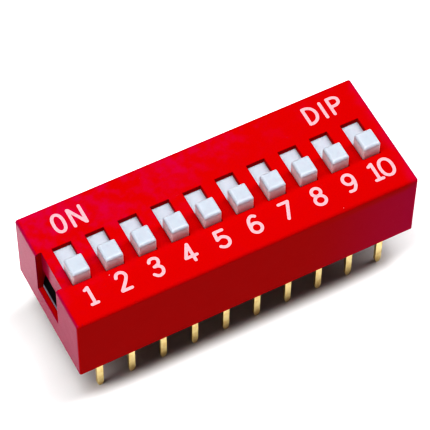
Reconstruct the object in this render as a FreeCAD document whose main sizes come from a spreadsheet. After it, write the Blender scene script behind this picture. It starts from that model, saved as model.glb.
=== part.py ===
import FreeCAD, Part
import math
import os
import re
import Sketcher

# A ten-position dual-in-line slide switch, in millimetres.
# Origin: the middle of the pin pattern, on the plane where the housing sits on a board.
# +X runs along the row from switch 1 to switch 10, +Y points to the ON side, +Z is up.

# Driving dimensions. Each is written once, here.
DRIVING = {
    "positions": 10,          # switches in the row
    "pitch": 2.54,            # from one switch to the next, and from pin to pin
    "row_spacing": 7.62,      # between the two rows of pins
    "cover_height": 6.35,
    "top_wall": 0.42,
    "side_wall": 0.65,
    "end_wall": 0.7,
    "end_margin": 0.71,       # cover beyond the outermost switch cell
    "top_round": 0.27,        # rounding of the cover's top edges
    "corner_round": 0.15,     # rounding of the cover's upright edges
    "slot_round": 0.05,       # rounding of the slots' upper edges
    "cover_fit": 0.02,        # between cover and base
    "notch_width": 3.3,
    "notch_depth": 0.48,
    "notch_floor": 2.0,       # height of the ledge in the notch
    "window_height": 2.1,     # latch window in each end
    "base_wall": 0.33,
    "floor_level": 2.6,       # floor of the switch wells, level with the fixed contacts
    "nose_reach": 0.35,
    "nose_height": 1.9,
    "nose_gap": 0.1,
    "seal_recess": 0.5,
    "seal_thick": 0.4,
    "seal_rim": 0.25,
    "knob_width": 1.38,
    "knob_length": 1.5,
    "knob_rise": 1.2,         # above the cover
    "knob_round": 0.22,       # rounding of the knob's top edges
    "knob_corner": 0.12,      # rounding of the knob's upright edges
    "knob_gap": 0.03,         # between the knob and each side of its slot
    "travel": 1.8,            # from OFF to ON
    "slot_offset": 0.1,       # middle of the slots, towards the OFF side
    "end_gap": 0.03,          # left at the slot's end when the knob is at its limit
    "plate_side": 0.18,       # slider plate beyond each side of the knob
    "plate_thick": 0.6,
    "plate_lap": 0.25,        # slider plate left under the cover past the slot's end
    "run_gap": 0.03,          # running clearance of the slider
    "well_gap": 0.15,         # between the slider plate's ends and the well
    "stem_clear": 0.9,        # between the slider's stem and the well floor
    "stem_wall": 0.25,
    "strip_thick": 0.15,      # bridging contact
    "bridge_width": 0.9,
    "arch_half": 0.95,
    "foot_length": 0.25,
    "foot_gap": 0.02,         # between the bridging contact's feet and the fixed contacts
    "spring_gap": 0.02,       # between the bridging contact and its pocket
    "spring_bend": 0.12,      # inner radius of the bridging contact's bends
    "leg_width": 0.5,         # terminals
    "leg_thick": 0.25,
    "leg_length": 4.55,       # below the seating plane
    "leg_cover": 0.05,        # least distance from a leg to the end of the well
    "tip_width": 0.24,
    "tip_length": 0.35,
    "pad_width": 1.0,
    "pad_gap": 0.7,           # insulating gap between the two fixed contacts
    "bend_radius": 0.2,
}

# Sizes that follow from the driving dimensions.
DERIVED = {
    "first_x": "-(positions - 1) / 2 * pitch",
    "cover_length": "positions * pitch + 2 * end_margin",
    "plate_reach": "travel + end_gap + plate_lap",
    "sweep_half": "slot_offset + travel / 2 + knob_length / 2 + plate_reach",
    "leg_outer": "row_spacing / 2 + leg_thick / 2",
    "well_half": "max(sweep_half + well_gap; leg_outer + leg_cover)",
    "base_width": "2 * (well_half + base_wall)",
    "base_length": "cover_length - 2 * (end_wall + cover_fit)",
    "cavity_width": "base_width + 2 * cover_fit",
    "cavity_length": "cover_length - 2 * end_wall",
    "cover_width": "cavity_width + 2 * side_wall",
    "cavity_top": "cover_height - top_wall",
    "base_top": "cavity_top - cover_fit",
    "plate_top": "cavity_top - run_gap",
    "plate_bottom": "plate_top - plate_thick",
    "plate_width": "knob_width + 2 * plate_side",
    "plate_half": "knob_length / 2 + plate_reach",
    "well_width": "plate_width + 2 * run_gap",
    "slot_width": "knob_width + 2 * knob_gap",
    "slot_half": "knob_length / 2 + travel / 2 + end_gap",
    "knob_top": "cover_height + knob_rise",
    "off_y": "-(slot_offset + travel / 2)",
    "stem_bottom": "floor_level + stem_clear",
    "pocket_half": "arch_half + spring_gap",
    "stem_half": "pocket_half + stem_wall",
    "foot_half": "arch_half + foot_length",
    "foot_bottom": "floor_level + foot_gap",
    "foot_top": "foot_bottom + strip_thick",
    "arch_inner": "arch_half - strip_thick",
    "arch_under": "plate_bottom - strip_thick",
    "gap_middle": "(foot_half + arch_inner) / 2 - slot_offset",
    "front_pad_end": "gap_middle - pad_gap / 2",
    "back_pad_end": "gap_middle + pad_gap / 2",
    "pad_bottom": "floor_level - leg_thick",
    "nose_half": "notch_width / 2 - nose_gap",
    "nose_bottom": "notch_floor + nose_gap / 2",
    "nose_top": "nose_bottom + nose_height",
    "seal_width": "base_width - 2 * seal_rim",
    "seal_length": "base_length - 2 * seal_rim",
    "seal_bottom": "seal_recess - seal_thick",
    "outer_end": "cover_length / 2",
}

TINY = 1e-4


def formula(text):
    """Write a formula in the sheet's terms, with derived names opened up and driving names prefixed."""
    def term(match):
        name = match.group(0)
        if name in DRIVING:
            return "Sizes." + name
        if name in DERIVED:
            return "(" + formula(DERIVED[name]) + ")"
        return name
    return re.sub(r"[a-z]\w*", term, text)


def size_sheet(doc):
    """Put the driving dimensions into the document's sheet, one named cell each."""
    sheet = doc.addObject("Spreadsheet::Sheet", "Sizes")
    for row, (alias, number) in enumerate(DRIVING.items(), start=1):
        sheet.set(f"A{row}", alias)
        sheet.set(f"B{row}", str(number))
        sheet.setAlias(f"B{row}", alias)
    doc.recompute()


def new_body(doc, label, x="0", y="0", turned=False):
    """Start a body at (x, y), turned half round about the vertical if asked."""
    body = doc.addObject("PartDesign::Body", label)
    body.Label = label
    if turned:
        body.Placement = FreeCAD.Placement(FreeCAD.Vector(0, 0, 0), FreeCAD.Rotation(180, 0, 0))
    body.setExpression("Placement.Base.x", formula(x))
    body.setExpression("Placement.Base.y", formula(y))
    return body


def origin_feature(body, role):
    """Find one of the body's own planes or axes."""
    return next(item for item in body.Origin.OriginFeatures if item.Role == role)


def new_sketch(body, name, plane="XY_Plane", level="0"):
    """Start a sketch on one of the body's planes, lifted by level along the plane's normal."""
    sketch = body.newObject("Sketcher::SketchObject", name)
    sketch.AttachmentSupport = (origin_feature(body, plane), [""])
    sketch.MapMode = "FlatFace"
    sketch.setExpression("AttachmentOffset.Base.z", formula(level))
    return sketch


def outline(sketch, corners):
    """Draw a closed polygon whose corners are each tied to a pair of formulas."""
    first = sketch.GeometryCount
    count = len(corners)
    ring = [
        FreeCAD.Vector(math.cos(2 * math.pi * i / count), math.sin(2 * math.pi * i / count), 0)
        for i in range(count)
    ]
    for i in range(count):
        sketch.addGeometry(Part.LineSegment(ring[i], ring[(i + 1) % count]), False)
    for i in range(count):
        follower = first + (i + 1) % count
        sketch.addConstraint(Sketcher.Constraint("Coincident", first + i, 2, follower, 1))
    for i, corner in enumerate(corners):
        for kind, text in zip(("DistanceX", "DistanceY"), corner):
            index = sketch.addConstraint(Sketcher.Constraint(kind, -1, 1, first + i, 1, 1.0))
            sketch.setExpression(f"Constraints[{index}]", formula(text))


def rectangle(sketch, left, right, low, high):
    """Draw a rectangle between two x and two y formulas."""
    outline(sketch, [(left, low), (right, low), (right, high), (left, high)])


def centred(sketch, width, length):
    """Draw a rectangle about the sketch's origin."""
    rectangle(sketch, f"-({width}) / 2", f"({width}) / 2", f"-({length}) / 2", f"({length}) / 2")


def pad(body, sketch, name, length, down=False, symmetric=False):
    """Raise a sketch into a solid, upwards unless told otherwise."""
    feature = body.newObject("PartDesign::Pad", name)
    feature.Profile = sketch
    feature.SideType = "Symmetric" if symmetric else "One side"
    feature.Reversed = down
    feature.setExpression("Length", formula(length))
    return feature


def pocket(body, sketch, name, depth, up=False, symmetric=False):
    """Cut a sketch out of the body, downwards unless told otherwise."""
    feature = body.newObject("PartDesign::Pocket", name)
    feature.Profile = sketch
    feature.SideType = "Symmetric" if symmetric else "One side"
    feature.Reversed = up
    feature.setExpression("Length", formula(depth))
    return feature


def repeat(body, feature, name):
    """Repeat a feature of the first switch at every other switch of the row."""
    pattern = body.newObject("PartDesign::LinearPattern", name)
    pattern.Originals = [feature]
    pattern.Direction = (origin_feature(body, "X_Axis"), [""])
    pattern.Mode = "Spacing"
    pattern.setExpression("Offset", formula("pitch"))
    pattern.setExpression("Occurrences", formula("positions"))
    body.Tip = pattern
    return pattern


def mirror_ends(body, feature, name):
    """Make a feature of the left end again at the right end."""
    mirrored = body.newObject("PartDesign::Mirrored", name)
    mirrored.Originals = [feature]
    mirrored.MirrorPlane = (origin_feature(body, "YZ_Plane"), [""])
    body.Tip = mirrored
    return mirrored


def round_edges(body, base, name, radius, chosen):
    """Fillet the edges of base that chosen() picks from their bounding boxes."""
    body.Document.recompute()
    edges = [f"Edge{i}" for i, edge in enumerate(base.Shape.Edges, start=1) if chosen(edge.BoundBox)]
    fillet = body.newObject("PartDesign::Fillet", name)
    fillet.Base = (base, edges)
    fillet.setExpression("Radius", formula(radius))
    return fillet


def cross_edges(corners):
    """Give a test for edges that run along X through one of the corners, each a distance from the
    middle plane y = 0 and a height."""
    def chosen(box):
        if box.YLength > TINY or box.ZLength > TINY:
            return False
        return any(math.hypot(abs(box.YMin) - across, box.ZMin - height) < TINY for across, height in corners)

    return chosen


def make_cover(doc):
    """Moulded cover: an upturned tray with ten slots, a latch window in each end and a notch in the
    left one."""
    body = new_body(doc, "cover")
    block_plan = new_sketch(body, "cover_plan")
    centred(block_plan, "cover_length", "cover_width")
    block = pad(body, block_plan, "cover_block", "cover_height")
    top = DRIVING["cover_height"]
    crown = round_edges(body, block, "top_edges", "top_round", lambda box: box.ZMin > top - TINY)
    round_edges(body, crown, "corner_edges", "corner_round",
                lambda box: box.ZMin < TINY and box.ZLength > top / 2)

    cavity_plan = new_sketch(body, "cavity_plan")
    centred(cavity_plan, "cavity_length", "cavity_width")
    pocket(body, cavity_plan, "cavity", "cavity_top", up=True)

    slot_plan = new_sketch(body, "slot_plan", level="cover_height")
    rectangle(slot_plan, "first_x - slot_width / 2", "first_x + slot_width / 2",
              "-slot_offset - slot_half", "-slot_offset + slot_half")
    slot = pocket(body, slot_plan, "slot", "2 * top_wall")
    slots = repeat(body, slot, "slots")
    pin_line = DRIVING["row_spacing"] / 2
    round_edges(body, slots, "slot_edges", "slot_round",
                lambda box: box.ZMin > top - TINY and max(-box.YMin, box.YMax) < pin_line)

    notch_plan = new_sketch(body, "notch_plan", level="cover_height")
    rectangle(notch_plan, "-outer_end - notch_depth", "-outer_end + notch_depth",
              "-notch_width / 2", "notch_width / 2")
    pocket(body, notch_plan, "notch", "cover_height - notch_floor")

    window_plan = new_sketch(body, "window_plan", level="notch_floor")
    rectangle(window_plan, "-outer_end - end_wall", "-outer_end + end_wall",
              "-notch_width / 2", "notch_width / 2")
    window = pocket(body, window_plan, "window", "window_height", up=True)
    mirror_ends(body, window, "windows")
    return body


def make_base(doc):
    """Moulded base: ten wells, a seat for each terminal, a latch nose at each end and a seal recess."""
    body = new_body(doc, "base")
    block_plan = new_sketch(body, "base_plan")
    centred(block_plan, "base_length", "base_width")
    pad(body, block_plan, "base_block", "base_top")

    nose_side = new_sketch(body, "nose_side", plane="XZ_Plane")
    outline(nose_side, [
        ("-base_length / 2 + base_wall / 2", "nose_bottom"),
        ("-base_length / 2 + base_wall / 2", "nose_top"),
        ("-base_length / 2", "nose_top"),
        ("-base_length / 2 - nose_reach", "nose_bottom + nose_height / 8"),
        ("-base_length / 2 - nose_reach", "nose_bottom"),
    ])
    nose = pad(body, nose_side, "nose", "2 * nose_half", symmetric=True)
    mirror_ends(body, nose, "noses")

    well_plan = new_sketch(body, "well_plan", level="base_top")
    rectangle(well_plan, "first_x - well_width / 2", "first_x + well_width / 2", "-well_half", "well_half")
    well = pocket(body, well_plan, "well", "base_top - floor_level")
    repeat(body, well, "wells")

    seat_plan = new_sketch(body, "seat_plan", level="floor_level")
    rectangle(seat_plan, "first_x - pad_width / 2", "first_x + pad_width / 2", "-leg_outer", "front_pad_end")
    rectangle(seat_plan, "first_x - pad_width / 2", "first_x + pad_width / 2", "back_pad_end", "leg_outer")
    seat = pocket(body, seat_plan, "seat", "leg_thick")
    repeat(body, seat, "seats")

    recess_plan = new_sketch(body, "recess_plan")
    centred(recess_plan, "seal_length", "seal_width")
    pocket(body, recess_plan, "recess", "seal_recess", up=True)

    leg_holes(body, "pad_bottom", "pad_bottom - seal_recess")
    return body


def leg_holes(body, level, depth):
    """Cut the two rows of holes that the legs pass through, downwards from level."""
    label = body.Label
    hole_plan = new_sketch(body, label + "_hole_plan", level=level)
    for inner, outer in (("-leg_outer + leg_thick", "-leg_outer"), ("leg_outer - leg_thick", "leg_outer")):
        rectangle(hole_plan, "first_x - leg_width / 2", "first_x + leg_width / 2", inner, outer)
    holes = pocket(body, hole_plan, label + "_hole", depth)
    repeat(body, holes, label + "_holes")


def make_seal(doc):
    """Poured seal that closes the underside around the legs."""
    body = new_body(doc, "bottom_seal")
    seal_plan = new_sketch(body, "seal_plan", level="seal_bottom")
    centred(seal_plan, "seal_length", "seal_width")
    pad(body, seal_plan, "seal_slab", "seal_thick")
    leg_holes(body, "seal_recess", "seal_thick")
    return body


def make_terminal(doc, label, x, side):
    """Stamped terminal: a flat fixed contact with one leg, which stands at the body's own origin.

    side is -1 for the OFF row and 1 for the ON row, whose terminals are turned half round.
    """
    pad_end = "front_pad_end" if side < 0 else "-back_pad_end"
    body = new_body(doc, label, x, f"{side} * row_spacing / 2", turned=side > 0)

    strip_plan = new_sketch(body, label + "_strip_plan", level="floor_level")
    rectangle(strip_plan, "-pad_width / 2", "pad_width / 2", "-leg_thick / 2", f"row_spacing / 2 + {pad_end}")
    strip = pad(body, strip_plan, label + "_strip", "leg_thick", down=True)

    leg_front = new_sketch(body, label + "_leg_front", plane="XZ_Plane")
    outline(leg_front, [
        ("-leg_width / 2", "pad_bottom"),
        ("-leg_width / 2", "tip_length - leg_length"),
        ("-tip_width / 2", "-leg_length"),
        ("tip_width / 2", "-leg_length"),
        ("leg_width / 2", "tip_length - leg_length"),
        ("leg_width / 2", "pad_bottom"),
    ])
    leg = pad(body, leg_front, label + "_leg", "leg_thick", symmetric=True)
    bend_corner = (DRIVING["leg_thick"] / 2, DRIVING["floor_level"])
    round_edges(body, leg, label + "_bend", "bend_radius", cross_edges([bend_corner]))
    return body


def make_bridge(doc, label, x):
    """Bridging contact: an arch of spring strip with two feet turned outwards."""
    body = new_body(doc, label, x, "off_y")
    side = new_sketch(body, label + "_side", plane="YZ_Plane")
    right_half = [
        ("arch_half", "plate_bottom"),
        ("arch_half", "foot_top"),
        ("foot_half", "foot_top"),
        ("foot_half", "foot_bottom"),
        ("arch_inner", "foot_bottom"),
        ("arch_inner", "arch_under"),
    ]
    left_half = [(f"-({across})", height) for across, height in reversed(right_half)]
    outline(side, right_half + left_half)
    arch = pad(body, side, label + "_arch", "bridge_width", symmetric=True)

    doc.recompute()
    lowest, highest = arch.Shape.BoundBox.ZMin, arch.Shape.BoundBox.ZMax
    thick = DRIVING["strip_thick"]
    half = DRIVING["arch_half"]
    inner_corners = [(half, lowest + thick), (half - thick, highest - thick)]
    outer_corners = [(half - thick, lowest), (half, highest)]
    inner = round_edges(body, arch, label + "_inner_bends", "spring_bend", cross_edges(inner_corners))
    round_edges(body, inner, label + "_outer_bends", "spring_bend + strip_thick", cross_edges(outer_corners))
    return body


def make_slider(doc, label, x):
    """Moulded slider: a plate under the cover, a knob above it and a stem that holds the bridging contact."""
    body = new_body(doc, label, x, "off_y")
    plate_plan = new_sketch(body, label + "_plate_plan", level="plate_bottom")
    centred(plate_plan, "plate_width", "2 * plate_half")
    pad(body, plate_plan, label + "_plate", "plate_thick")

    stem_plan = new_sketch(body, label + "_stem_plan", level="plate_bottom")
    centred(stem_plan, "plate_width", "2 * stem_half")
    pad(body, stem_plan, label + "_stem", "plate_bottom - stem_bottom", down=True)

    pocket_plan = new_sketch(body, label + "_pocket_plan", level="stem_bottom")
    centred(pocket_plan, "bridge_width + 2 * spring_gap", "2 * pocket_half")
    pocket(body, pocket_plan, label + "_pocket", "plate_bottom - stem_bottom", up=True)

    knob_plan = new_sketch(body, label + "_knob_plan", level="plate_top")
    centred(knob_plan, "knob_width", "knob_length")
    knob = pad(body, knob_plan, label + "_knob", "knob_top - plate_top")
    top = DRIVING["cover_height"] + DRIVING["knob_rise"]
    crown = round_edges(body, knob, label + "_knob_crown", "knob_round", lambda box: box.ZMin > top - TINY)
    cover_top = DRIVING["cover_height"]
    round_edges(body, crown, label + "_knob_sides", "knob_corner",
                lambda box: box.ZMin < cover_top < box.ZMax)
    return body


def check_document(doc, bodies):
    """Stop if an object failed, a body isn't one valid solid, or a pad or pocket changed nothing."""
    for item in doc.Objects:
        if "Invalid" in item.State or "Error" in item.State:
            raise RuntimeError(f"{item.Name} failed: {item.State}")
        base = getattr(item, "BaseFeature", None)
        if base is None or item.TypeId == "PartDesign::Body":
            continue
        change = item.Shape.Volume - base.Shape.Volume
        if item.TypeId == "PartDesign::Pocket" and change > -TINY * TINY:
            raise RuntimeError(f"{item.Name} cut nothing")
        if item.TypeId == "PartDesign::Pad" and change < TINY * TINY:
            raise RuntimeError(f"{item.Name} added nothing")
    for body in bodies:
        if body.Shape.isNull() or not body.Shape.isValid() or len(body.Shape.Solids) != 1:
            raise RuntimeError(f"{body.Label} is not one valid solid")


def build():
    """Build the document and write one STEP file for each piece."""
    doc = FreeCAD.newDocument("slide_switch")
    size_sheet(doc)
    bodies = [make_cover(doc), make_base(doc), make_seal(doc)]
    for number in range(1, DRIVING["positions"] + 1):
        x = f"first_x + {number - 1} * pitch"
        bodies.append(make_slider(doc, f"slider_{number}", x))
        bodies.append(make_bridge(doc, f"bridge_contact_{number}", x))
        bodies.append(make_terminal(doc, f"off_side_terminal_{number}", x, -1))
        bodies.append(make_terminal(doc, f"on_side_terminal_{number}", x, 1))
    doc.recompute()
    check_document(doc, bodies)
    os.makedirs("parts", exist_ok=True)
    for body in bodies:
        body.Shape.exportStep(f"parts/{body.Label}.step")
        print(f"{body.Label}: {body.Shape.Volume:.3f} mm3")


build()
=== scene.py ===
"""Looks of a ten-position slide switch: a red moulded cover with its printed legend, white
sliders, a black base closed with resin, and gold-plated terminals.

The plan is worked out in mm and turned to metres where it enters Blender."""

import math

import bpy
import numpy as np
from mathutils import Matrix, Vector


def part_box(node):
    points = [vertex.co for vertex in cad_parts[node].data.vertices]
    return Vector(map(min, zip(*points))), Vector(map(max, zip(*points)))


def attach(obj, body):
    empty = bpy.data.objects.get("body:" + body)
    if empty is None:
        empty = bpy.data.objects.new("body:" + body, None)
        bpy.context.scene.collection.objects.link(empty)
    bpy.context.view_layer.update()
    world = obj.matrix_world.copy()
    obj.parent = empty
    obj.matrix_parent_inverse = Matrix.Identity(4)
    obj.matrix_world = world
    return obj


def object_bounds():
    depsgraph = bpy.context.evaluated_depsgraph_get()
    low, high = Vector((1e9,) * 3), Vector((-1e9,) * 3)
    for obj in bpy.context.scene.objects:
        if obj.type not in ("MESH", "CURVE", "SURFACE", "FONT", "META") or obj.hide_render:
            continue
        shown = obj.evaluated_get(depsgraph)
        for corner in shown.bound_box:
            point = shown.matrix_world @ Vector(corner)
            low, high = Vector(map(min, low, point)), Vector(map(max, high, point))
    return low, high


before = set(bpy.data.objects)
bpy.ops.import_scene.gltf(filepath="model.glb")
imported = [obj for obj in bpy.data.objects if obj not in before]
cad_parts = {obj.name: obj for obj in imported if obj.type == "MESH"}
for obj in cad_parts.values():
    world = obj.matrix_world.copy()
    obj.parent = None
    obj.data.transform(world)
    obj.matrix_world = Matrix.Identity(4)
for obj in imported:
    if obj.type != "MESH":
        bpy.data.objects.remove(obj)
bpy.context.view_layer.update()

MM = 0.001
COVER_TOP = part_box("cover")[1].z  # metres
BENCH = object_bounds()[0].z  # metres: the tips of the terminals

# Bands across the object, in mm. A band is where a mask starts and where it is full, so a band
# whose first number is the larger one masks what lies below it, or nearer to the middle.
# Distance from the middle, along the switch:
END_FACE = (13.3041, 13.3641)  # the cover's two end faces
END_ROUNDING = (13.1453, 13.2476)  # the rounded edge above them
NOTCH_WALL_FRONT = (12.8841, 12.9151)  # the wall at the back of the notch, between these two
NOTCH_WALL_BACK = (12.9499, 12.9769)
NOSE_EDGE = (12.9846, 13.0307)  # the outermost edge of each latch nose
# Distance from the middle, across the switch:
SIDE_CORNER = (4.9598, 4.8580)  # all but the front and back faces and their corners
# Place along the switch, towards the tenth slider:
RIGHT_HALF = (2.0, 15.0)
RIGHT_RIM = (12.2, 13.3)
# Height:
TOP_FACE = (6.35, 6.28)  # all but the cover's flat top
ROUNDING_FOOT = (6.05, 6.15)  # where the cover's rounded top edge starts
TOP_ZONE = (5.8, 6.3)  # the cover's top and its rounded edges
UNDER_TOP = (6.1, 5.2)  # the cover's walls
KNOB_CROWN = (7.46, 7.1)  # all but the top of a knob
KNOB_FOOT = (7.1, 6.35)  # down a knob's flanks
KNOB_ROOT = (6.0, 6.2)  # all but the slider's parts under the cover
# Height of a plane that rises towards the cover's back left corner:
BACK_LEFT = (-0.2, 0.75)
BACK_RISE, LEFT_RISE = 0.1, 0.03

BUBBLES_PER_METRE = 1400.0

# Linear colours, settled under the studio light at the end of this file.
RED = (0.435, 0.0, 0.0, 1.0)
CRIMSON = (0.43, 0.0, 0.07, 1.0)
DEEP_RED = (0.35, 0.0, 0.0, 1.0)
# Painted shade and a painted pink reflection tint on the cover's end faces, the rounding above
# them and the notch's back wall.
END_PAINTED_SHADE_AND_REFLECTION = (0.35, 0.0, 0.085, 1.0)
COVER_MOTE = (0.46, 0.17, 0.20, 1.0)
WHITE = (0.435, 0.47, 0.515, 1.0)
HANDLED_WHITE = (0.41, 0.415, 0.475, 1.0)
# Painted light: the knobs' flanks are made paler than their crowns.
FLANK_PAINTED_LIGHT = (0.76, 0.84, 0.86, 1.0)
# Painted red bounce light from the cover, on the lower flanks of the knobs.
FOOT_PAINTED_RED_BOUNCE = (0.74, 0.62, 0.64, 1.0)
SLIDER_FLECK = (0.38, 0.25, 0.30, 1.0)
BLACK = (0.004, 0.004, 0.005, 1.0)
FIBRE_BLACK = (0.011, 0.010, 0.012, 1.0)
# A painted highlight along the outermost edge of each latch nose.
NOSE_PAINTED_HIGHLIGHT = (0.36, 0.35, 0.42, 1.0)
DARK_RESIN = (0.012, 0.010, 0.009, 1.0)
AMBER_RESIN = (0.035, 0.022, 0.014, 1.0)
GOLD = (0.90, 0.76, 0.41, 1.0)
THIN_GOLD = (0.80, 0.63, 0.29, 1.0)
DRAWN_GOLD = (0.95, 0.84, 0.55, 1.0)
INK = (0.54, 0.355, 0.38, 1.0)
THIN_INK = (0.52, 0.28, 0.31, 1.0)
CARD = (0.87, 0.87, 0.87, 1.0)
CARD_FIBRE = (0.85, 0.85, 0.85, 1.0)

# ------------------------------------------------------------------ finishes


class Wire:
    """One output of a node, so that node maths reads as arithmetic. Each operator adds a Math
    node."""

    def __init__(self, finish, socket):
        self.finish, self.socket = finish, socket

    def maths(self, operation, first, second):
        return self.finish.node("Math", {"operation": operation}, {0: first, 1: second})

    def __add__(self, other):
        return self.maths("ADD", self, other)

    __radd__ = __add__

    def __sub__(self, other):
        return self.maths("SUBTRACT", self, other)

    def __rsub__(self, other):
        return self.maths("SUBTRACT", other, self)

    def __mul__(self, other):
        return self.maths("MULTIPLY", self, other)

    __rmul__ = __mul__

    def between(self, low, high):
        """0 below low, 1 above high, with an eased slope between them. Low may be the larger."""
        return self.finish.node(
            "MapRange",
            {"interpolation_type": "SMOOTHSTEP"},
            {"Value": self, "From Min": low, "From Max": high},
        )

    def beyond(self, low, high):
        """The same on both sides of the middle: it compares squares, so the sign plays no part."""
        return (self * self).between(low * low, high * high)


class Finish:
    """A material, its shader and its nodes."""

    def __init__(self, name, **constants):
        self.material = bpy.data.materials.new(name)
        self.material.use_nodes = True
        self.tree = self.material.node_tree
        self.tree.nodes.clear()
        self.place = self.node("TexCoord", out="Object")
        self.shader = self.node("BsdfPrincipled", {}, constants)
        self.node("OutputMaterial", {}, {"Surface": self.shader}, out=None)

    def node(self, kind, settings=None, sockets=None, out=0):
        """Adds a node: its settings first, then each socket's value or link. Returns the output
        asked for."""
        made = self.tree.nodes.new("ShaderNode" + kind)
        for name, value in (settings or {}).items():
            setattr(made, name, value)
        for name, value in (sockets or {}).items():
            if isinstance(value, Wire):
                self.tree.links.new(value.socket, made.inputs[name])
            else:
                made.inputs[name].default_value = value
        return None if out is None else Wire(self, made.outputs[out])

    def mixed(self, mask, first, second):
        """The first colour where the mask is 0 and the second where it is 1."""
        sockets = {0: mask, 6: first, 7: second}
        return self.node("Mix", {"data_type": "RGBA"}, sockets, out=2)

    def stretched(self, across, along, up):
        """The place on the object, drawn out or squeezed along each axis."""
        return self.node("Mapping", {}, {"Vector": self.place, "Scale": (across, along, up)})

    def noise(self, size_mm, detail, place=None):
        """Smooth noise from 0 to 1 whose lumps are about that many mm across."""
        return self.node(
            "TexNoise",
            {"noise_dimensions": "3D"},
            {"Vector": place or self.place, "Scale": 1 / (size_mm * MM), "Detail": detail},
        )

    def axis(self, name):
        """One coordinate of the place on the object, in mm."""
        return self.node("SeparateXYZ", {}, {"Vector": self.place}, out=name) * (1 / MM)

    def give(self, **inputs):
        """Feeds what varies over the surface to the shader."""
        made = self.shader.socket.node
        for name, value in inputs.items():
            self.tree.links.new(value.socket, made.inputs[name.replace("_", " ")])

    def relief(self, height, depth_mm):
        """Raised and sunk detail of that depth."""
        return self.node("Bump", {}, {"Height": height, "Distance": depth_mm * MM})


def cover_plastic():
    """Red moulding compound: a fine spark-eroded skin, a colour that drifts towards crimson at the
    back left and low on the right, a few pale motes, and a thin clear coat on the two end faces
    and on the wall at the back of the notch. These faces and the rounding above the end faces are
    also painted a darker, bluer red, as painted shade and a painted pink reflection."""
    f = Finish(
        "cover_red",
        **{
            "Specular Tint": (1.0, 0.0, 0.02, 1.0),
            "Specular IOR Level": 0.04,
            "Coat Roughness": 0.12,
        },
    )
    x, y, z = f.axis("X"), f.axis("Y"), f.axis("Z")
    cloud = f.noise(3.2, 3.0)
    blotch = f.noise(0.9, 3.0)
    skin = f.noise(0.085, 3.0)
    mote = f.noise(0.21, 0.0).between(0.83, 0.87)

    outer = x.beyond(*END_FACE) + z.between(*ROUNDING_FOOT) * x.beyond(*END_ROUNDING)
    inner = x.beyond(*NOTCH_WALL_FRONT) - x.beyond(*NOTCH_WALL_BACK)
    ends = (outer + inner).between(0.0, 1.0) * y.beyond(*SIDE_CORNER) * z.between(*TOP_FACE)

    back_left = (y * BACK_RISE - x * LEFT_RISE).between(*BACK_LEFT)
    mottle = cloud.between(0.25, 0.72) * 0.5 + blotch.between(0.35, 0.7) * 0.5
    drift = mottle * (back_left * 0.95 + 0.2) * (z.between(*TOP_ZONE) * 0.9 + 0.1)
    drift = drift + z.between(*UNDER_TOP) * x.between(*RIGHT_HALF) * 0.9
    drift = drift + x.between(*RIGHT_RIM) * cloud.between(0.3, 0.6) * 0.5

    tone = f.mixed(drift.between(0.0, 1.0), RED, CRIMSON)
    tone = f.mixed(skin.between(0.3, 0.75) * 0.10 + blotch * 0.05, tone, DEEP_RED)
    # Painted shade and painted reflection: a darker, bluer red on the end faces, their rounding
    # and the notch's back wall.
    tone = f.mixed(ends * 0.8, tone, END_PAINTED_SHADE_AND_REFLECTION)
    f.give(
        Coat_Weight=ends * (blotch * 0.2 + 0.36),
        Base_Color=f.mixed(mote * 0.15, tone, COVER_MOTE),
        Roughness=skin * 0.16 + blotch * 0.08 + 0.36,
        Normal=f.relief(skin * 0.7 + blotch * 0.3, 0.006),
    )
    return f.material


def slider_plastic():
    """White moulding compound, faintly blue, with soft handling marks. The knob's flanks are
    painted paler than its crown as painted light, and pink towards the foot as a painted red
    bounce from the cover."""
    f = Finish(
        "slider_white",
        **{
            "Subsurface Weight": 0.8,
            "Subsurface Scale": 0.6 * MM,
            "Subsurface Radius": (1.0, 0.8, 0.8),
        },
    )
    z = f.axis("Z")
    rub = f.noise(0.45, 3.0)
    skin = f.noise(0.06, 2.0)
    fleck = f.noise(0.16, 0.0).between(0.84, 0.88)
    flank = z.between(*KNOB_CROWN) * z.between(*KNOB_ROOT)
    tone = f.mixed(rub.between(0.45, 0.75) * 0.5, WHITE, HANDLED_WHITE)
    # Painted light: the flanks are painted paler than the crown.
    tone = f.mixed(flank * 0.9, tone, FLANK_PAINTED_LIGHT)
    # Painted red bounce from the cover: pink towards the foot of the flanks.
    tone = f.mixed(flank * z.between(*KNOB_FOOT) * (rub * 0.4 + 0.5), tone, FOOT_PAINTED_RED_BOUNCE)
    f.give(
        Base_Color=f.mixed(fleck * 0.3, tone, SLIDER_FLECK),
        Roughness=rub * 0.15 + skin * 0.1 + 0.34,
        Normal=f.relief(skin * 0.6 + rub * 0.4, 0.003),
    )
    return f.material


def base_plastic():
    """Black glass-filled plastic with a dull skin, and a pale line painted along the outermost
    edge of each latch nose as a painted highlight."""
    f = Finish("base_black", **{"Specular IOR Level": 0.02})
    fibre = f.noise(0.12, 4.0, f.stretched(1.0, 3.0, 1.0))
    cloud = f.noise(1.1, 2.0)
    # Painted highlight: pale grey along the outermost edge of each latch nose.
    nose_highlight = f.axis("X").beyond(*NOSE_EDGE) * (cloud * 0.6 + 0.5)
    tone = f.mixed(fibre.between(0.45, 0.8), BLACK, FIBRE_BLACK)
    f.give(
        Base_Color=f.mixed(nose_highlight, tone, NOSE_PAINTED_HIGHLIGHT),
        Roughness=fibre * 0.25 + cloud * 0.1 + 0.33,
        Normal=f.relief(fibre, 0.008),
    )
    return f.material


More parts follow.
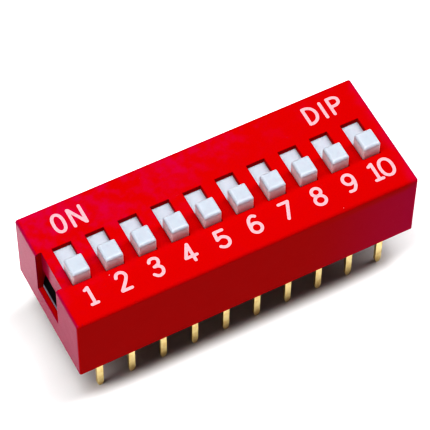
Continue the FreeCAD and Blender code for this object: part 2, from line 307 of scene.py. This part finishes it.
def seal_resin():
    """Poured potting resin: glossy and wavy, dark amber-black, with small burst bubbles."""
    f = Finish("seal_resin", **{"IOR": 1.55, "Coat Weight": 0.5, "Coat Roughness": 0.08})
    wave = f.noise(2.1, 2.0)
    ripple = f.noise(0.5, 2.0)
    bubble = f.node(
        "TexVoronoi",
        {"feature": "F1"},
        {"Vector": f.place, "Scale": BUBBLES_PER_METRE, "Randomness": 1.0},
        out="Distance",
    ).between(0.16, 0.08)
    sparse = f.noise(1.3, 0.0).between(0.55, 0.62)
    f.give(
        Base_Color=f.mixed(wave.between(0.35, 0.7), DARK_RESIN, AMBER_RESIN),
        Roughness=ripple * 0.2 + bubble * sparse * 0.25 + 0.14,
        Normal=f.relief(wave * 0.7 + ripple * 0.2 - bubble * sparse * 0.25, 0.05),
    )
    return f.material


def plated_metal():
    """Thin gold plate on stamped strip: lines drawn along the leg, and a duller gold where the
    plate is thin."""
    f = Finish("gold_plate", **{"Metallic": 1.0})
    drawn = f.noise(0.045, 3.0, f.stretched(1.0, 1.0, 0.045))
    thin = f.noise(0.55, 3.0)
    pit = f.noise(0.07, 2.0)
    tone = f.mixed(thin.between(0.4, 0.7), GOLD, THIN_GOLD)
    f.give(
        Base_Color=f.mixed(drawn.between(0.4, 0.8) * 0.35, tone, DRAWN_GOLD),
        Roughness=thin * 0.18 + pit * 0.12 + 0.2,
        Normal=f.relief(drawn * 0.7 + pit * 0.3, 0.006),
    )
    return f.material


def legend_ink():
    """Screen-printed ink, white with the red below just showing through where it is thin."""
    f = Finish("legend_ink", **{"IOR": 1.45})
    thin = f.noise(0.16, 3.0)
    skin = f.noise(0.04, 2.0)
    f.give(
        Base_Color=f.mixed(thin.between(0.45, 0.8), INK, THIN_INK),
        Roughness=skin * 0.2 + 0.45,
        Normal=f.relief(skin * 0.5 + thin * 0.5, 0.004),
    )
    return f.material


def bench_card():
    """Plain pale card, faintly uneven."""
    f = Finish("bench_card", **{"Specular IOR Level": 0.1})
    fibre = f.noise(1.5, 3.0)
    f.give(
        Base_Color=f.mixed(fibre, CARD, CARD_FIBRE),
        Roughness=fibre * 0.1 + 0.8,
        Normal=f.relief(fibre, 0.01),
    )
    return f.material


FINISHES = {
    "cover_plastic": cover_plastic(),
    "slider_plastic": slider_plastic(),
    "base_plastic": base_plastic(),
    "seal_resin": seal_resin(),
    "plated_metal": plated_metal(),
    "legend_ink": legend_ink(),
}


def dress_frame():
    """Gives every node of the frame the finish of its own material slot."""
    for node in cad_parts.values():
        finish = FINISHES[node.material_slots[0].material.name.split(".")[0]]
        node.data.materials.clear()
        node.data.materials.append(finish)


# ------------------------------------------------------------------ printed legend

INK_WIDTH = 0.27  # mm
DROP_WIDTHS = (0.08, 0.06)  # mm
INK_LIFT = 0.016  # mm above the cover's top
LIFT_STEP = 0.09  # how much higher each later stroke is, so crossing strokes share no surface
INK_DIP = 0.12  # how far a bead reaches into the cover, as a share of its lift
BEAD_CORNERS = 18  # around a bead
CAP_STEPS = 6  # rings in a rounded end
CAP_SLOPE = 3  # how fast a bead rises from the tip of a rounded end


def through(points, spans=10):
    """A smooth open path through the points. Each span is a cubic that leaves and reaches its ends
    with slopes of half the chord between the neighbours; the end points use themselves as the
    missing neighbour."""
    p = np.asarray(points, float)
    p = np.vstack([p[:1], p, p[-1:]])
    t = (np.arange(spans) / spans)[None, :, None]
    a, b, c, d = (p[i : len(p) - 3 + i, None, :] for i in range(4))
    curve = (
        b
        + 0.5 * (c - a) * t
        + (a - 2.5 * b + 2 * c - 0.5 * d) * t**2
        + (1.5 * (b - c) + 0.5 * (d - a)) * t**3
    )
    return np.vstack([curve.reshape(-1, 2), p[-1:]])


def ring(centre, half_width, half_height, power, count=56):
    """A closed path: cosine and sine of a full turn, each raised to 2/power with its sign kept,
    times the half sizes. Power 2 is an ellipse and a higher power is squarer."""
    turn = np.linspace(0, 2 * np.pi, count, endpoint=False)
    c, s = np.cos(turn), np.sin(turn)
    x = np.sign(c) * np.abs(c) ** (2 / power) * half_width
    y = np.sign(s) * np.abs(s) ** (2 / power) * half_height
    return np.column_stack([x, y]) + np.asarray(centre, float)


def ink_shell(path, closed, width, lift):
    """A low bead of ink along a path. Around the bead runs an angle: the offset to the side is
    the half-width times the square root of the cosine, with its sign kept, and the height is the
    lift times the square root of the sine, so the top is flat and the edges roll down. Where the
    sine is below 0, the depth is the lift times INK_DIP times the sine, a little into the cover.
    Past an open end the half-width shrinks as a quarter circle to a point.
    Returns corners, four-sided faces and three-sided faces, which all point outwards."""
    half = width / 2
    line = path
    reach = np.full(len(path), half)
    ahead = np.roll(path, -1, 0) - np.roll(path, 1, 0) if closed else np.gradient(path, axis=0)
    ahead = ahead / np.linalg.norm(ahead, axis=1, keepdims=True)
    if not closed:
        out = np.sin(np.linspace(0, np.pi / 2, CAP_STEPS + 1))[1:]
        taper = half * np.sqrt(np.clip(1 - out**2, 0, 1))
        head = path[:1] - ahead[:1] * half * out[::-1, None]
        tail = path[-1:] + ahead[-1:] * half * out[:, None]
        line = np.vstack([head, path, tail])
        reach = np.concatenate([taper[::-1], reach, taper])
        ahead = np.pad(ahead, ((CAP_STEPS, CAP_STEPS), (0, 0)), mode="edge")
    side = np.column_stack([ahead[:, 1], -ahead[:, 0]])
    around = np.linspace(0, 2 * np.pi, BEAD_CORNERS, endpoint=False)
    c, s = np.cos(around), np.sin(around)
    across = np.sign(c) * np.sqrt(np.abs(c))
    up = np.where(s > 0, np.sqrt(np.abs(s)), INK_DIP * s) * lift
    plan = line[:, None, :] + side[:, None, :] * (reach[:, None] * across)[:, :, None]
    rise = np.broadcast_to(up, plan.shape[:2])
    if not closed:
        rise = rise * np.clip(reach / half * CAP_SLOPE, 0, 1)[:, None]
    grid = np.dstack([plan, rise])

    tips = 0 if closed else 1  # the first and last ring of an open bead are a single point each
    rings = len(grid) - 2 * tips
    corners = grid[tips : tips + rings].reshape(-1, 3)
    i, j = np.meshgrid(np.arange(rings - tips), np.arange(BEAD_CORNERS), indexing="ij")
    here, after = i * BEAD_CORNERS, (i + 1) % rings * BEAD_CORNERS
    j2 = (j + 1) % BEAD_CORNERS
    quads = np.stack([here + j, after + j, after + j2, here + j2], -1).reshape(-1, 4)
    if closed:
        return corners, quads, np.zeros((0, 3), int)
    first_tip, last_tip = len(corners), len(corners) + 1
    corners = np.vstack([corners, grid[0, :1], grid[-1, :1]])
    j = np.arange(BEAD_CORNERS)
    j2 = (j + 1) % BEAD_CORNERS
    last = (rings - 1) * BEAD_CORNERS
    start = np.column_stack([np.full(BEAD_CORNERS, first_tip), j, j2])
    end = np.column_stack([np.full(BEAD_CORNERS, last_tip), last + j2, last + j])
    return corners, quads, np.vstack([start, end])


def print_mark(name, strokes, width=INK_WIDTH):
    """One printed mark: its strokes' beads of ink in one mesh on the cover's top. A stroke is
    (path, closed)."""
    corners, faces, shift = [], [], 0
    for order, (path, closed) in enumerate(strokes):
        lift = INK_LIFT * (1 + LIFT_STEP * order)
        points, quads, triangles = ink_shell(path, closed, width, lift)
        corners.append(points)
        faces += (quads + shift).tolist() + (triangles + shift).tolist()
        shift += len(points)
    points = np.vstack(corners) * MM
    points[:, 2] += COVER_TOP
    mesh = bpy.data.meshes.new(name)
    mesh.from_pydata(points.tolist(), [], faces)
    mesh.polygons.foreach_set("use_smooth", np.ones(len(mesh.polygons), bool))
    mesh.validate()
    mesh.materials.append(FINISHES["legend_ink"])
    mark = bpy.data.objects.new(name, mesh)
    bpy.context.scene.collection.objects.link(mark)
    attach(mark, "housing")


def bent(*points):
    """A stroke on a smooth open path."""
    return through(points), False


def bar(start, end):
    """A straight stroke."""
    return np.asarray([start, end], float), False


def loop(centre, half_width, half_height, power=2.0):
    """A stroke on a closed path."""
    return ring(centre, half_width, half_height, power), True


# Each mark's strokes, in mm across and along the cover's top.
LEGEND = {
    "print_on": [
        loop((-10.81, 3.26), 0.385, 0.74, 2.3),
        bar((-9.86, 2.53), (-9.86, 3.97)),
        bar((-9.80, 3.95), (-9.01, 2.55)),
        bar((-8.96, 2.53), (-8.96, 3.97)),
    ],
    "print_dip": [
        bar((8.93, 2.65), (8.93, 4.03)),
        bent((8.93, 4.03), (9.23, 4.01), (9.58, 3.80), (9.73, 3.34), (9.58, 2.87), (9.23, 2.65),
             (8.93, 2.64)),
        bar((10.30, 2.65), (10.30, 3.98)),
        bar((10.91, 2.65), (10.91, 4.03)),
        bent((10.91, 4.03), (11.33, 4.02), (11.60, 3.88), (11.66, 3.67), (11.59, 3.45),
             (11.33, 3.32), (10.91, 3.31)),
    ],
    "print_1": [
        bar((-11.38, -2.38), (-11.38, -3.77)),
        bar((-11.38, -2.38), (-11.62, -2.52)),
        bar((-11.63, -3.77), (-11.17, -3.77)),
    ],
    "print_2": [
        bent((-9.28, -2.63), (-9.16, -2.39), (-8.91, -2.31), (-8.65, -2.44), (-8.57, -2.72),
             (-8.75, -3.07), (-9.03, -3.42), (-9.30, -3.74)),
        bar((-9.30, -3.77), (-8.59, -3.77)),
    ],
    "print_3": [
        bent((-6.71, -2.55), (-6.59, -2.37), (-6.38, -2.32), (-6.14, -2.40), (-6.05, -2.61),
             (-6.15, -2.87), (-6.42, -3.00)),
        bent((-6.50, -3.01), (-6.25, -3.05), (-6.06, -3.21), (-6.03, -3.43), (-6.14, -3.68),
             (-6.40, -3.80), (-6.61, -3.74), (-6.77, -3.57)),
    ],
    "print_4": [
        bar((-3.71, -2.38), (-4.25, -3.41)),
        bar((-4.25, -3.41), (-3.41, -3.41)),
        bar((-3.70, -2.38), (-3.69, -3.80)),
    ],
    "print_5": [
        bar((-1.58, -2.42), (-0.97, -2.42)),
        bar((-1.58, -2.42), (-1.63, -3.05)),
        bent((-1.63, -3.07), (-1.41, -2.96), (-1.20, -2.95), (-0.95, -3.11), (-0.86, -3.37),
             (-0.96, -3.65), (-1.24, -3.80), (-1.48, -3.75), (-1.64, -3.63)),
    ],
    "print_6": [
        loop((1.30, -3.38), 0.39, 0.40),
        bent((1.60, -2.47), (1.36, -2.36), (1.08, -2.55), (0.94, -2.93), (0.91, -3.37)),
    ],
    "print_7": [
        bar((3.52, -2.42), (4.22, -2.42)),
        bar((4.22, -2.42), (3.67, -3.75)),
    ],
    "print_8": [loop((6.39, -2.68), 0.335, 0.33), loop((6.38, -3.41), 0.40, 0.38)],
    "print_9": [
        loop((8.91, -2.77), 0.38, 0.42),
        bent((9.29, -2.77), (9.28, -3.10), (9.18, -3.45), (8.94, -3.74), (8.61, -3.75)),
    ],
    "print_10": [
        bar((10.98, -2.36), (10.97, -3.77)),
        bar((10.98, -2.36), (10.71, -2.51)),
        bar((10.70, -3.77), (11.25, -3.78)),
        loop((11.89, -3.06), 0.47, 0.72, 2.2),
    ],
}


def print_legend():
    """The words and numbers, and two stray drops of the same ink."""
    for name, strokes in LEGEND.items():
        print_mark(name, strokes)
    print_mark("print_drop_1", [bar((-9.566, -2.17), (-9.556, -2.17))], DROP_WIDTHS[0])
    print_mark("print_drop_2", [bar((7.482, -4.73), (7.492, -4.73))], DROP_WIDTHS[1])


# ------------------------------------------------------------------ studio

BENCH_REACH = 2.0  # metres from the middle to each side of the card
LAMP_DISTANCE = 0.40  # metres
# Azimuth and elevation in degrees, width and height in metres, power in watts.
LAMPS = {
    "overhead": (10, 85, 0.34, 0.12, 0.88),
    "right_lamp": (87, 60, 0.16, 0.34, 0.56),
    "left_lamp": (-90, 60, 0.16, 0.34, 0.62),
}
ROOM_COLOUR = (0.97, 0.98, 1.0, 1.0)
ROOM_STRENGTH = 0.06
CAMERA_AZIMUTH, CAMERA_ELEVATION, CAMERA_ROLL = -28.24846, 56.44733, 0.77291  # degrees
CAMERA_PLACE = (-0.1445, 2.3793, 182.1255)  # mm across, along and back, in the camera's own axes
SENSOR_WIDTH, FOCAL_LENGTH = 36.0, 210.875  # mm


def direction(azimuth, elevation):
    """From the object outwards. Azimuth 0 is on the digits' side (-Y) and 90 is on +X."""
    a, e = math.radians(azimuth), math.radians(elevation)
    return Vector((math.sin(a) * math.cos(e), -math.cos(a) * math.cos(e), math.sin(e)))


def lay_bench():
    """A broad flat card level with the terminals' tips: one face between its four corners."""
    far = BENCH_REACH
    corners = [(-far, -far, BENCH), (far, -far, BENCH), (far, far, BENCH), (-far, far, BENCH)]
    mesh = bpy.data.meshes.new("bench")
    mesh.from_pydata(corners, [], [(0, 1, 2, 3)])
    mesh.materials.append(bench_card())
    bench = bpy.data.objects.new("bench", mesh)
    bpy.context.scene.collection.objects.link(bench)


def hang_lamp(name, azimuth, elevation, width, height, power):
    """An oblong lamp aimed at the object."""
    towards = direction(azimuth, elevation)
    lamp = bpy.data.lights.new(name, "AREA")
    lamp.shape, lamp.size, lamp.size_y, lamp.energy = "RECTANGLE", width, height, power
    holder = bpy.data.objects.new(name, lamp)
    holder.location = towards * LAMP_DISTANCE
    holder.rotation_mode = "QUATERNION"
    holder.rotation_quaternion = towards.to_track_quat("Z", "Y")
    bpy.context.scene.collection.objects.link(holder)


def light_studio():
    """A soft lamp overhead and a weaker one at each side, in a dim white room."""
    for name, setting in LAMPS.items():
        hang_lamp(name, *setting)
    world = bpy.data.worlds.new("room")
    world.use_nodes = True
    room = world.node_tree.nodes["Background"].inputs
    room["Color"].default_value = ROOM_COLOUR
    room["Strength"].default_value = ROOM_STRENGTH
    bpy.context.scene.world = world
    bpy.context.scene.view_settings.view_transform = "Standard"
    bpy.context.scene.view_settings.look = "Very High Contrast"


def set_camera():
    """A long lens looking down from the digits' side and the left, turned a little about its own
    axis."""
    back = direction(CAMERA_AZIMUTH, CAMERA_ELEVATION)
    level = (-back).cross(Vector((0, 0, 1))).normalized()
    upright = level.cross(-back)
    roll = math.radians(CAMERA_ROLL)
    across = level * math.cos(roll) + upright * math.sin(roll)
    along = upright * math.cos(roll) - level * math.sin(roll)
    turned = Matrix((across, along, back)).transposed()
    lens = bpy.data.cameras.new("camera")
    lens.sensor_width, lens.lens = SENSOR_WIDTH, FOCAL_LENGTH
    lens.clip_start, lens.clip_end = 0.01, 10.0
    camera = bpy.data.objects.new("camera", lens)
    camera.matrix_world = Matrix.Translation(turned @ Vector(CAMERA_PLACE) * MM) @ turned.to_4x4()
    bpy.context.scene.collection.objects.link(camera)
    bpy.context.scene.camera = camera


dress_frame()
print_legend()
lay_bench()
light_studio()
set_camera()
